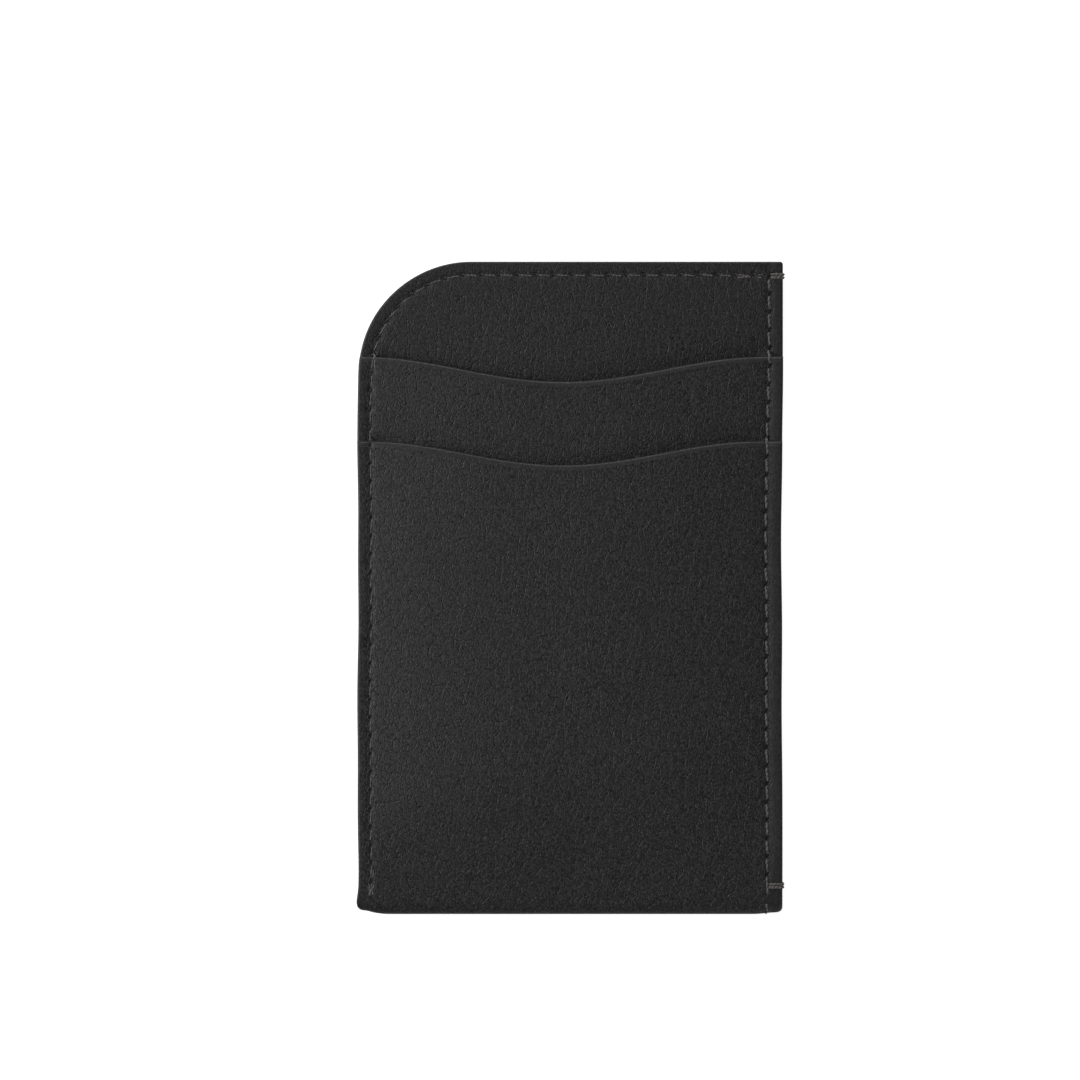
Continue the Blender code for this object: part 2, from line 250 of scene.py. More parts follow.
def settle(points):
    # points: array of x, y, z in the ideal shape; returns the shape as sewn and handled
    x, y, z = points[:, 0].copy(), points[:, 1].copy(), points[:, 2].copy()
    height = y - bottomEdge
    start, near = settling["sideStart"], settling["nearSeam"]
    rightShare = smooth((x - start) / (rightEdge - start))
    leftShare = smooth((-x - start) / (rightEdge - start))
    (upperAt, upperRun), (lowerAt, lowerRun, lowerPart) = settling["waistAt"], settling["lowerWaist"]
    waist = bump((height - upperAt) / upperRun) + lowerPart * bump((height - lowerAt) / lowerRun)
    flare = smooth((height - settling["flareAt"][0]) / settling["flareAt"][1])
    wave = np.sin(height / (7.3 * mm) + 0.8) + 0.6 * np.sin(height / (3.1 * mm))
    newX = x + (settling["flare"] * flare - settling["waist"] * waist) * rightShare
    lowDown = smooth((topEdge - 8 * mm - y) / (25 * mm))
    newX -= settling["drift"] * lowDown * bump((x - rightEdge + seams["inset"]) / near)
    onLeft = smooth((cornerY - y) / (4 * mm)) * bump((x - leftEdge - seams["inset"]) / near)
    newX -= settling["leftShift"] * onLeft
    newX += settling["leftWave"] * wave * leftShare * smooth(height / (8 * mm))
    newX -= settling["footNotch"] * bump((height - 1.6 * mm) / (1.3 * mm)) * leftShare
    edgeShare = smooth((np.abs(x) - halfWidth + 3 * mm) / (3 * mm))
    newX -= np.sign(x) * crown(height, settling["foldRadius"]) * edgeShare
    topShare = smooth((x - rightEdge + 2 * mm) / (2 * mm))
    newX -= crown(topEdge - y, settling["topRadius"]) * topShare
    fromSide = halfWidth - np.abs(x)
    lift = settling["foldCorner"] * (1 - smooth(fromSide / settling["foldCornerRun"]))
    lift = np.where(x > 0, settling["rightCorner"] * lift, lift)
    newY = y + lift * (1 - smooth(height / (5 * mm)))
    ripple = np.array([
        noise.noise(Vector((a * 60, b * 45, 0.3))) + 0.5 * noise.noise(Vector((a * 140, b * 110, 3.1)))
        for a, b in zip(x, y)
    ])
    inside = smooth(outlineDistance(x, y) / (6 * mm)) * smooth(z / stackTop)
    newZ = z + settling["undulation"] * ripple * inside
    nearFold = 1 - np.clip(height / settling["thinningRun"], 0, 1)
    newZ = newZ * (1 - settling["foldThinning"] * nearFold ** 1.8)
    return np.column_stack((newX, newY, newZ))


def deselectAll():
    if bpy.context.object and bpy.context.object.mode != "OBJECT":
        bpy.ops.object.mode_set(mode="OBJECT")
    bpy.ops.object.select_all(action="DESELECT")


def gradedSteps(start, end, coarse, fineAt):
    # places from start to end, coarse apart but closer round each (place, spacing, reach)
    samples, growth = 6001, 0.35
    line = np.linspace(start, end, samples)
    spacing = np.full_like(line, coarse)
    for place, fine, reach in fineAt:
        away = np.maximum(np.abs(line - place) - reach, 0)
        spacing = np.minimum(spacing, fine + away * growth)
    density = 1 / spacing
    count = np.concatenate(([0], np.cumsum((density[1:] + density[:-1]) / 2 * np.diff(line))))
    steps = max(2, int(math.ceil(count[-1])))
    return np.interp(np.linspace(0, count[-1], steps + 1), count, line)


def addSheet(name, columns, rows, place):
    # a grid extruded to two faces, then each vertex put in place; layer 1 is the outer face
    deselectAll()
    across, along = len(columns) - 1, len(rows) - 1
    bpy.ops.mesh.primitive_grid_add(x_subdivisions=across, y_subdivisions=along, size=1.0)
    piece = bpy.context.object
    piece.name = name
    piece.data.name = name
    bpy.ops.object.mode_set(mode="EDIT")
    bpy.ops.mesh.select_all(action="SELECT")
    bpy.ops.mesh.extrude_region_move(TRANSFORM_OT_translate={"value": (0, 0, -1)})
    bpy.ops.mesh.select_all(action="SELECT")
    bpy.ops.mesh.normals_make_consistent(inside=False)
    bpy.ops.object.mode_set(mode="OBJECT")
    mesh = piece.data
    flat = np.empty(len(mesh.vertices) * 3)
    mesh.vertices.foreach_get("co", flat)
    flat = flat.reshape(-1, 3)
    column = np.clip(np.round((flat[:, 0] + 0.5) * across).astype(int), 0, across)
    row = np.clip(np.round((flat[:, 1] + 0.5) * along).astype(int), 0, along)
    outer = flat[:, 2] > -0.5
    placed, facts = place(np.asarray(columns)[column], np.asarray(rows)[row], outer)
    for fact, values in facts.items():
        layer = mesh.attributes.new(fact, "FLOAT", "POINT")
        layer.data.foreach_set("value", np.asarray(values, dtype=np.float32))
    mesh.vertices.foreach_set("co", settle(placed).ravel())
    mesh.update()
    bpy.ops.object.shade_smooth_by_angle(angle=math.radians(48))
    return piece


def finishPiece(piece, slot, *nodes):
    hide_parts(*nodes)
    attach(piece, "root")


def sheetFacts(x, y, edgeDistance, lip=0.0):
    # what the material needs at each point: distance from the cut edge, place along and across
    # the nearest seam, how open the holes are there, and how far the grain is stretched smooth
    along, across = seamPlace(x, y)
    onRight = x > rightEdge - seams["inset"] - seams["cornerClear"]
    belowSeam = (y < bottomEdge + seams["start"] - 0.4 * mm) & ~onRight
    holes = np.where(belowSeam, 0.01, np.where(onRight, 1.0, 0.28))
    calm = np.maximum(smooth((x - rightEdge + 2.3 * mm) / (0.7 * mm)), lip)
    return {
        "edge": edgeDistance / mm, "stitch": along, "across": across / mm,
        "holes": holes, "calm": calm,
    }


def plyColumns(coarse, seamSpacing):
    inset = seams["inset"]
    return gradedSteps(leftEdge, rightEdge, coarse, [
        (leftEdge, 0.05 * mm, 0.05 * mm), (rightEdge, 0.07 * mm, 0.05 * mm),
        (leftEdge + inset, seamSpacing, 0.7 * mm), (rightEdge - inset, seamSpacing, 0.7 * mm),
    ])


def tightness(x, y, openRight=False):
    # 1 in the sewn margins, where the plies lie hard on each other, 0 inside the pockets
    distance = outlineDistance(x, y)
    if openRight:
        distance = np.where(x > 0, np.minimum(topEdge - y, 1.0), distance)
    return smooth((seams["inset"] + seams["tightRun"] - distance) / seams["tightRun"])


leaf = {
    "crown": 0.28 * mm,       # rounding of a ply's cut edge
    "mouthCrown": 0.30 * mm,
    "lowerCrown": 0.10 * mm,
    "thinnest": 0.1 * mm,     # a ply is never thinner than this
    "lipWidth": 0.98 * mm,    # the turned band along a mouth
    "lipRise": 0.05 * mm,
    "lipStep": 0.36 * mm,
    "lipTilt": 0.18 * mm,
    "cleanLip": 0.14 * mm,    # the edge paint is narrower by this along a mouth
}


def mouthRelief(below):
    # the turned edge along a mouth: a slightly raised band, tilted towards the edge
    pastBand = smooth((below - leaf["lipWidth"] + leaf["lipStep"] / 2) / leaf["lipStep"])
    band = leaf["lipRise"] * (1 - pastBand)
    tilt = leaf["lipTilt"] * np.clip(1 - below / leaf["lipWidth"], 0, 1)
    return band - tilt


def lipShare(below):
    # 1 on the smooth turned band along a mouth, 0 below it
    return 1 - smooth((below - leaf["lipWidth"] + leaf["lipStep"]) / leaf["lipStep"])


def makeLeaf(name, base, raises, bottom, topLine, columns, rows, mouth, nextMouth, node):
    # raises: how many pockets under this ply stand open; nextMouth: the mouth lying over it
    thickness = plies["panel"]
    fullHeight = np.max(topLine(np.linspace(leftEdge, rightEdge, 200))) - bottom

    def place(x, down, outer):
        line = topLine(x)
        below = down * (line - bottom) / fullHeight
        y = line - below
        toSide = outlineDistance(x, y)
        toEdge = np.minimum(np.minimum(toSide, below), y - bottom)
        rounding = np.maximum(crown(np.minimum(toSide, y - bottom), leaf["crown"]),
                              crown(below, leaf["mouthCrown"] if mouth else leaf["crown"]))
        face = topOf(base, thickness, raises, x, y) - rounding
        face = face - mouthDip(x, y, nextMouth)
        if mouth:
            face = face + mouthRelief(below)
        squeeze = plies["close"] * tightness(x, y)
        floor = base + plies["rise"] * raises * dome(x, y) - squeeze + crown(toEdge, leaf["lowerCrown"])
        z = np.where(outer, face, np.minimum(floor, face - leaf["thinnest"]))
        painted = np.minimum(np.minimum(toSide, y - bottom), below + leaf["cleanLip"])
        lip = lipShare(below) if mouth else 0.0
        return np.column_stack((x, y, z)), sheetFacts(x, y, np.where(outer, painted, 0.0), lip)

    piece = addSheet(name, columns, rows, place)
    finishPiece(piece, "panel_leather", node)
    return piece


def makeOuterWrap():
    # one strip: back leaf, fold and lower pocket; rows run from the back's top edge to the lower mouth
    backSteps = gradedSteps(0, topEdge - foldLine, 1.1 * mm, [
        (0, 0.07 * mm, 0.05 * mm), (seams["inset"], 0.3 * mm, 0.6 * mm)])
    foldCount = 30
    frontLength = mouths["lower"]["side"] - foldLine
    frontSteps = gradedSteps(0, frontLength, 0.40 * mm, [
        (frontLength, 0.06 * mm, 0.05 * mm), (frontLength - leaf["lipWidth"], 0.09 * mm, 0.2 * mm)])
    rows = list(backSteps / backSteps[-1])
    rows += [1 + i / foldCount for i in range(1, foldCount + 1)]
    rows += list(2 + frontSteps[1:] / frontSteps[-1])
    columns = plyColumns(0.62 * mm, 0.2 * mm)

    def place(x, along, outer):
        onBack = along <= 1
        onFold = (along > 1) & (along < 2)
        backLine = cornerLine(x)
        backY = backLine - (backLine - foldLine) * np.clip(along, 0, 1)
        frontLine = mouthLine(x, "lower")
        frontY = foldLine + (frontLine - foldLine) * np.clip(along - 2, 0, 1)
        angle = np.pi * np.clip(along - 1, 0, 1)
        sink = np.where(outer, 0.0, plies["shell"] + plies["close"])
        sideCrown = crown(np.minimum(x - leftEdge, rightEdge - x), leaf["crown"])
        sink = sink + np.where(outer, sideCrown, -0.4 * sideCrown)
        foldY, foldZ = foldPlace(angle, sink)
        y = np.where(onBack, backY, np.where(onFold, foldY, frontY))
        toMouth = np.where(onBack, backLine - backY, np.where(onFold, 1.0, frontLine - frontY))
        toSide = outlineDistance(x, np.where(onFold, foldLine, y))
        toEdge = np.minimum(toSide, toMouth)
        backFace = backHeight(x, y) + crown(toEdge, leaf["crown"])
        squeezed = plies["close"] * np.where(onBack, tightness(x, y), 1.0)
        backInner = plies["shell"] + squeezed - crown(toEdge, leaf["lowerCrown"])
        rounding = np.maximum(crown(toSide, leaf["crown"]), crown(toMouth, leaf["mouthCrown"]))
        frontFace = topOf(level["frontLeaf"], plies["shell"], 3, x, y) - rounding
        frontFace = frontFace + mouthRelief(frontLine - frontY)
        nearFold = 1 - smooth((y - foldLine) / (3 * mm))
        frontTight = np.maximum(tightness(x, y), nearFold)
        frontInner = level["frontLeaf"] + plies["rise"] * 3 * dome(x, y)
        frontInner = frontInner - plies["close"] * frontTight + crown(toEdge, leaf["lowerCrown"])
        frontInner = np.minimum(frontInner, frontFace - leaf["thinnest"])
        backZ = np.where(outer, backFace, backInner)
        frontZ = np.where(outer, frontFace, frontInner)
        z = np.where(onFold, foldZ, np.where(onBack, backZ, frontZ))
        painted = np.minimum(toSide, toMouth + np.where(onBack, 0.0, leaf["cleanLip"]))
        lip = np.where(onBack, 0.0, lipShare(toMouth))
        facts = sheetFacts(x, y, np.where(outer, painted, 0.0), lip)
        return np.column_stack((x, y, z)), facts

    piece = addSheet("outerWrap", columns, rows, place)
    finishPiece(piece, "shell_leather", "outer_wrap")
    return piece


def foldReach(base, thickness):
    # how low an inner ply reaches inside the fold
    middle = stackTop / 2
    away = max(abs(base - middle), abs(base + thickness - middle)) + 0.1 * mm
    share = min(away / (middle - plies["shell"] - plies["gap"]), 0.99)
    reach = (plies["foldDepth"] - plies["shell"] - plies["gap"]) * math.sqrt(1 - share ** 2)
    return foldLine - reach + 0.3 * mm


def makePlies():
    # the two panels have close rows where they are seen and wide ones behind the next pocket
    pieces = {"outerWrap": makeOuterWrap()}
    visible = topEdge - (mouths["upper"]["side"] - mouths["upper"]["dip"])
    tallBottom = foldReach(level["tallPanel"], plies["panel"])
    tallRows = gradedSteps(0, topEdge - tallBottom, 4 * mm, [
        (0, 0.05 * mm, 0.05 * mm), (seams["inset"], 0.2 * mm, 0.7 * mm),
        (visible / 2, 0.34 * mm, visible / 2)])
    pieces["tallPanel"] = makeLeaf(
        "tallPanel", level["tallPanel"], 1, tallBottom, cornerLine,
        plyColumns(0.36 * mm, 0.2 * mm), tallRows, False, "upper", "tall_panel")
    shown = mouths["upper"]["side"] - (mouths["lower"]["side"] - mouths["lower"]["dip"])
    pocketBottom = foldReach(level["pocketPanel"], plies["panel"])
    pocketRows = gradedSteps(0, mouths["upper"]["side"] - pocketBottom, 4 * mm, [
        (0, 0.06 * mm, 0.05 * mm), (leaf["lipWidth"], 0.09 * mm, 0.2 * mm),
        (shown / 2, 0.34 * mm, shown / 2)])
    pieces["upperPocketPanel"] = makeLeaf(
        "upperPocketPanel", level["pocketPanel"], 2, pocketBottom, lambda x: mouthLine(x, "upper"),
        plyColumns(0.45 * mm, 0.2 * mm), pocketRows, True, "lower", "upper_pocket_panel")
    return pieces


def makeLining(name, base, raises, bottom, topLine, openRight, node):
    length = topEdge - bottom
    rows = gradedSteps(0, length, 1.5 * mm, [(0, 0.3 * mm, 0.5 * mm)])

    def place(x, down, outer):
        line = topLine(x)
        y = line - down * (line - bottom) / length
        rise = plies["rise"] * raises * dome(x, y)
        floor = base + rise - plies["close"] * tightness(x, y, openRight)
        z = np.where(outer, base + plies["lining"] + rise, floor)
        return np.column_stack((x, y, z)), {"edge": outlineDistance(x, y) / mm}

    piece = addSheet(name, plyColumns(1.5 * mm, 0.8 * mm), rows, place)
    finishPiece(piece, "lining_fabric", node)
    return piece


def makeLinings():
    backBottom = foldReach(level["backLining"], plies["lining"])
    panelBottom = foldReach(level["panelLining"], plies["lining"])
    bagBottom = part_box("upper_pocket_lining")[0].y
    return [
        makeLining("backLining", level["backLining"], 0, backBottom, cornerLine, False, "back_lining"),
        makeLining("tallPanelLining", level["panelLining"], 1, panelBottom,
                   cornerLine, True, "tall_panel_lining"),
        makeLining("upperPocketLining", level["pocketLining"], 2, bagBottom,
                   lambda x: mouthLine(x, "upper") - 1.5 * mm, False, "upper_pocket_lining"),
    ]


sewing = {
    "radius": 0.2 * mm, "edgeRadius": 0.105 * mm, "rightRadius": 0.19 * mm, "baseRadius": 0.15 * mm,
    "slant": 0.12 * mm,     # sideways lean of each stitch
    "dive": 0.75 * mm,      # depth of the thread in a hole
    "proud": 0.01 * mm,
    "shown": 0.50,          # share of a stitch that lies on the leather
    "perStitch": 18,        # points on the path of one stitch
    "topSink": 0.04 * mm,   # the top seam is pulled down harder
    "stray": 0.09 * mm,
    "uneven": 0.3,
    "offFloor": 0.02 * mm,
    "double": 0.30 * mm,    # sideways shift where the seam is sewn twice
    "doubleTop": 0.32 * mm,
}


def edgeSeamPoint(along):
    # x, y and inward direction of the edge seam at a distance from its lower end
    inset = seams["inset"]
    radius = plies["cornerRadius"] - inset
    straight = cornerY - bottomEdge - seams["start"]
    arc = radius * math.pi / 2
    if along <= straight:
        return leftEdge + inset, bottomEdge + seams["start"] + along, (1.0, 0.0)
    if along <= straight + arc:
        angle = (along - straight) / radius
        x = cornerX - radius * math.cos(angle)
        return x, cornerY + radius * math.sin(angle), (math.cos(angle), -math.sin(angle))
    return cornerX + along - straight - arc, topEdge - inset, (0.0, -1.0)


def edgeSeamLength():
    radius = plies["cornerRadius"] - seams["inset"]
    straight = cornerY - bottomEdge - seams["start"]
    top = rightEdge - seams["inset"] - seams["cornerClear"] - cornerX
    return straight + radius * math.pi / 2 + top


def stitchProfile(share, uneven=0.0):
    # 1 where the thread lies on the leather, falling to 0 in the hole at each end of the stitch
    fromMiddle = abs(share - 0.5) * 2
    shown = sewing["shown"] + uneven
    return 1 - float(smooth((fromMiddle - shown) / (1 - shown)))


def edgeSeamPath(side, start=0.0, end=None, shift=0.0):
    end = edgeSeamLength() if end is None else end
    pitch, per = seams["pitch"], sewing["perStitch"]
    path = []
    count = int(round((end - start) / pitch * per))
    for i in range(count + 1):
        along = start + (end - start) * i / count
        share = (along / pitch) % 1.0
        lateral = shift + sewing["slant"] * (2 * share - 1) * side
        lateral += sewing["stray"] * noise.noise(Vector((along / pitch * 1.7, shift / mm, 5.0)))
        x, y, inward = edgeSeamPoint(along)
        stitch = math.floor(along / pitch)
        uneven = sewing["uneven"] * noise.noise(Vector((stitch * 1.37, 9.2, shift / mm)))
        lift = stitchProfile(share, uneven)
        path.append((x + inward[0] * lateral, y + inward[1] * lateral, lift))
    return path


def onFront(path):
    x, y, lift = (np.array([p[i] for p in path]) for i in range(3))
    z = frontHeight(x, y) + sewing["proud"] * lift - sewing["dive"] * (1 - lift)
    z = z - sewing["topSink"] * smooth((y - cornerY) / (plies["cornerRadius"] - seams["inset"]))
    return np.column_stack((x, y, z))


def onBack(path):
    x, y, lift = (np.array([p[i] for p in path]) for i in range(3))
    flat = sewing["offFloor"] + sewing["radius"]
    sunk = flat + sewing["dive"] * (1 - lift)
    share = np.clip((foldLine - y) / plies["foldDepth"], 0, 1)
    rise = stackTop / 2 * (1 - (1 - share ** plies["foldFullness"]) ** (1 / plies["foldFullness"]))
    return np.column_stack((x, y, sunk + rise))


def rightSeamPath():
    # down the front, round the fold and up the back
    inset, pitch, per = seams["inset"], seams["pitch"], sewing["perStitch"]
    x0 = rightEdge - inset
    top = topEdge - inset
    points = []
    frontLength = top - foldLine
    foldA, foldB = plies["foldDepth"], stackTop / 2
    foldLength = math.pi * math.sqrt((foldA ** 2 + foldB ** 2) / 2)
    flat = sewing["offFloor"] + sewing["radius"]
    total = 2 * frontLength + foldLength
    start = 0.25 * pitch
    count = int(round((total - start - seams["cornerClear"]) / pitch * per))
    for i in range(count + 1):
        along = start + i * pitch / per
        share = (along / pitch) % 1.0
        lift = stitchProfile(share)
        x = x0 + sewing["slant"] * (2 * share - 1)
        out = sewing["proud"] * lift - sewing["dive"] * (1 - lift)
        if along < frontLength:
            y = top - along
            z = float(frontHeight(np.array([x]), np.array([y]))[0]) + out
        elif along < frontLength + foldLength:
            angle = math.pi * (1 - (along - frontLength) / foldLength)
            y, z = (float(v) for v in foldPlace(angle, 0.05 * mm - out))
            z = max(z, flat)
        else:
            y = foldLine + along - frontLength - foldLength
            z = flat + sewing["dive"] * (1 - lift)
        points.append((x, y, z))
    return np.array(points)


tack = {
    "apart": 0.24 * mm,     # half the distance between its two turns
    "inner": 0.25 * mm,     # its inner end is this far outside the seam's line
    "outer": 0.10 * mm,     # its path is this far past the edge
    "steps": 6,             # parts of the straight way down the edge
    "upper": 0.1 * mm,      # the upper one is this far below the top seam
    "lower": 4.4 * mm,      # the lower one is this far above the bottom edge
}


def tackPaths(middle, high):
    # two turns of thread side by side round the right edge
    paths = []
    inner = rightEdge - seams["inset"] + tack["inner"]
    edge = rightEdge + tack["outer"]
    low = sewing["offFloor"] + sewing["radius"]
    steps = tack["steps"]
    for side in (-1, 1):
        y = middle + side * tack["apart"]
        # over the front face to the edge, down the edge, then in along the back
        route = [(inner, high - 0.5 * mm), (inner + 0.12 * mm, high + 0.02 * mm),
                 (inner + 0.6 * mm, high + 0.10 * mm), (edge - 0.45 * mm, high + 0.02 * mm),
                 (edge - 0.08 * mm, high - 0.25 * mm), (edge, high - 0.75 * mm)]
        for i in range(1, steps):
            route.append((edge, high - 0.75 * mm + (low + 0.6 * mm - high + 0.75 * mm) * i / steps))
        route += [(edge, low + 0.6 * mm), (edge - 0.1 * mm, low + 0.2 * mm), (edge - 0.4 * mm, low),
                  (inner + 0.3 * mm, low), (inner, low + 0.4 * mm)]
        paths.append(np.array([(x, y, z) for x, z in route]))
    return paths


def addThread(name, paths, slot, node, radius):
    deselectAll()
    bpy.ops.curve.primitive_bezier_curve_add()
    piece = bpy.context.object
    piece.name = name
    curve = piece.data
    curve.splines.clear()
    curve.dimensions = "3D"
    curve.bevel_depth = radius
    curve.bevel_resolution = 2
    curve.use_fill_caps = True
    for path in paths:
        spline = curve.splines.new("POLY")
        places = settle(path)
        spline.points.add(len(places) - 1)
        for point, place in zip(spline.points, places):
            point.co = (*place, 1.0)
    bpy.ops.object.convert(target="MESH")
    piece = bpy.context.object
    piece.data.name = name
    bpy.ops.object.shade_smooth()
    finishPiece(piece, slot, node)
    return piece


def makeThreads():
    # the edge seam is sewn twice at both ends and at the upper mouth
    length = edgeSeamLength()
    pitch, double, doubleTop = seams["pitch"], sewing["double"], sewing["doubleTop"]
    mouthY = float(mouthLine(np.array([leftEdge + seams["inset"]]), "upper")[0])
    mouthAlong = mouthY - bottomEdge - seams["start"]
    front = [
        onFront(edgeSeamPath(1)),
        onFront(edgeSeamPath(1, 0.0, 1.6 * pitch, double)),
        onFront(edgeSeamPath(-1, 0.0, 0.9 * pitch, -double)),
        onFront(edgeSeamPath(-1, mouthAlong - 2.2 * mm, mouthAlong + 0.4 * mm, doubleTop)),
        onFront(edgeSeamPath(-1, length - 1.6 * pitch, length, doubleTop)),
    ]
    back = [onBack(edgeSeamPath(-1)), onBack(edgeSeamPath(1, 0.0, 1.5 * pitch, double))]
    baseLow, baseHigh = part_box("pocket_base_seam_thread")
    baseX = np.linspace(baseLow.x, baseHigh.x, 160)
    baseY = np.full_like(baseX, (baseLow.y + baseHigh.y) / 2)
    wave = np.abs(np.sin(np.pi * (baseX - baseLow.x) / pitch)) ** 0.5
    rise = plies["rise"] * 2 * dome(baseX, baseY)
    baseZ = level["pocketPanel"] + plies["panel"] + rise + 0.1 * mm * wave
    upperMiddle = topEdge - seams["inset"] - tack["upper"]
    lowerMiddle = bottomEdge + tack["lower"]
    edgeX = np.array([rightEdge - 1.2 * mm])
    upperHigh = float(frontHeight(edgeX, np.array([upperMiddle]))[0])
    lowerHigh = float(frontHeight(edgeX, np.array([lowerMiddle]))[0])
    radius = sewing["radius"]
    return [
        addThread("edgeSeamNeedleThread", front, "sewing_thread", "edge_seam_needle_thread",
                  sewing["edgeRadius"]),
        addThread("edgeSeamBobbinThread", back, "sewing_thread", "edge_seam_bobbin_thread", radius),
        addThread("rightSeamThread", [rightSeamPath()], "sewing_thread", "right_seam_thread",
                  sewing["rightRadius"]),
        addThread("pocketBaseSeamThread", [np.column_stack((baseX, baseY, baseZ))], "sewing_thread",
                  "pocket_base_seam_thread", sewing["baseRadius"]),
        addThread("upperTack", tackPaths(upperMiddle, upperHigh), "sewing_thread", "upper_tack", radius),
        addThread("lowerTack", tackPaths(lowerMiddle, lowerHigh), "sewing_thread", "lower_tack", radius),
    ]


class Nodes:
    # short calls for building a shader
    def __init__(self, name):
        self.material = bpy.data.materials.new(name)
        self.material.use_nodes = True
        self.tree = self.material.node_tree
        self.shader = self.tree.nodes["Principled BSDF"]

    def add(self, kind, **settings):
        node = self.tree.nodes.new(kind)
        for key, value in settings.items():
            setattr(node, key, value)
        return node

    def link(self, source, target):
        self.tree.links.new(source, target)

    def math(self, operation, first, second=None, clamp=False):
        node = self.add("ShaderNodeMath", operation=operation, use_clamp=clamp)
        for socket, value in zip(node.inputs, (first, second)):
            if value is None:
                continue
            if isinstance(value, (int, float)):
                socket.default_value = value
            else:
                self.link(value, socket)
        return node.outputs[0]

    def ramp(self, value, low, high, outLow=0.0, outHigh=1.0):
        node = self.add("ShaderNodeMapRange", interpolation_type="SMOOTHSTEP")
        self.link(value, node.inputs["Value"])
        node.inputs["From Min"].default_value = low
        node.inputs["From Max"].default_value = high
        node.inputs["To Min"].default_value = outLow
        node.inputs["To Max"].default_value = outHigh
        return node.outputs[0]

    def mix(self, factor, first, second):
        node = self.add("ShaderNodeMix", data_type="RGBA")
        self.link(factor, node.inputs["Factor"])
        for socket, value in zip((node.inputs[6], node.inputs[7]), (first, second)):
            if isinstance(value, tuple):
                socket.default_value = (*value, 1.0)
            else:
                self.link(value, socket)
        return node.outputs[2]

    def weighted(self, operation, first, firstWeight, second, secondWeight):
        firstPart = self.math("MULTIPLY", first, firstWeight)
        return self.math(operation, firstPart, self.math("MULTIPLY", second, secondWeight))

    def ellipse(self, first, second, firstCentre, secondCentre, firstRadius, secondRadius):
        # 0 in the middle, 1 on the ellipse
        squares = []
        axes = ((first, firstCentre, firstRadius), (second, secondCentre, secondRadius))
        for value, centre, radius in axes:
            away = self.math("DIVIDE", self.math("SUBTRACT", value, centre), radius)
            squares.append(self.math("MULTIPLY", away, away))
        return self.math("ADD", *squares)

    def attribute(self, name):
        return self.add("ShaderNodeAttribute", attribute_name=name).outputs["Fac"]

    def position(self, squash=1):
        # the place on the object in millimetres, its y scaled by squash
        coordinates = self.add("ShaderNodeTexCoord").outputs["Object"]
        mapping = self.add("ShaderNodeMapping")
        mapping.inputs["Scale"].default_value = (1000, 1000 * squash, 1000)
        self.link(coordinates, mapping.inputs["Vector"])
        return mapping.outputs["Vector"]

    def noise(self, vector, scale, detail=2.0, roughness=0.5):
        node = self.add("ShaderNodeTexNoise")
        self.link(vector, node.inputs["Vector"])
        node.inputs["Scale"].default_value = scale
        node.inputs["Detail"].default_value = detail
        node.inputs["Roughness"].default_value = roughness
        return node

    def wave(self, vector, direction, scale, distortion):
        node = self.add("ShaderNodeTexWave", wave_type="BANDS", wave_profile="SIN")
        node.bands_direction = direction
        self.link(vector, node.inputs["Vector"])
        node.inputs["Scale"].default_value = scale
        node.inputs["Distortion"].default_value = distortion
        return node.outputs["Fac"]

    def valleys(self, vector, scale):
        # distance to the nearest border between the grain's cells
        node = self.add("ShaderNodeTexVoronoi", feature="DISTANCE_TO_EDGE")
        self.link(vector, node.inputs["Vector"])
        node.inputs["Scale"].default_value = scale
        node.inputs["Randomness"].default_value = 1.0
        return node.outputs["Distance"]

    def bumpFrom(self, height):
        # the height is in millimetres
        node = self.add("ShaderNodeBump")
        node.inputs["Strength"].default_value = 1.0
        node.inputs["Distance"].default_value = mm
        self.link(height, node.inputs["Height"])
        return node.outputs["Normal"]


# lengths in a shader are in millimetres
grain = {
    "cell": 1.15,       # size of the grain's cells
    "tall": 0.60,       # below 1, the cells are taller than wide
    "warp": 0.26,
    "pebble": 0.029,    # depths of the creases, the finer creases and the pores
    "fine": 0.004,
    "pore": 0.021,
    "creaseWidth": 0.075,
    "fineScale": 2.2,   # the finer net has this many cells to one of the main net's
    "fineWidth": 0.12,
    "hole": 0.18,       # depth of a stitch hole
    "holeSize": (0.52, 0.20),
    "lean": (0.9, 0.44),  # direction in which the holes are slit, along and across the seam
    "ear": 0.14,        # height of the leather pushed up beside a hole
    "earPlace": (-0.12, -0.33),
    "earSize": (0.36, 0.15),
}
leather = {
    "shell": (0.0163, 0.0160, 0.0163),
    "panel": (0.0153, 0.0150, 0.0153),
    # top: the panel leather again, darkened as painted shade for the tall panel's flatter, less lit face
    "top": (0.0128, 0.0125, 0.0128),
    # paint: the edge paint's own dark purplish tone, lightened as a painted highlight on the rounded rim
    "paint": (0.038, 0.029, 0.033),
    # hole: near black in the stitch holes, painted shade for the hollow that the bump cannot shadow
    "hole": (0.0015, 0.001, 0.0012),
    "roughness": 0.50,
    "specular": 0.45,
}


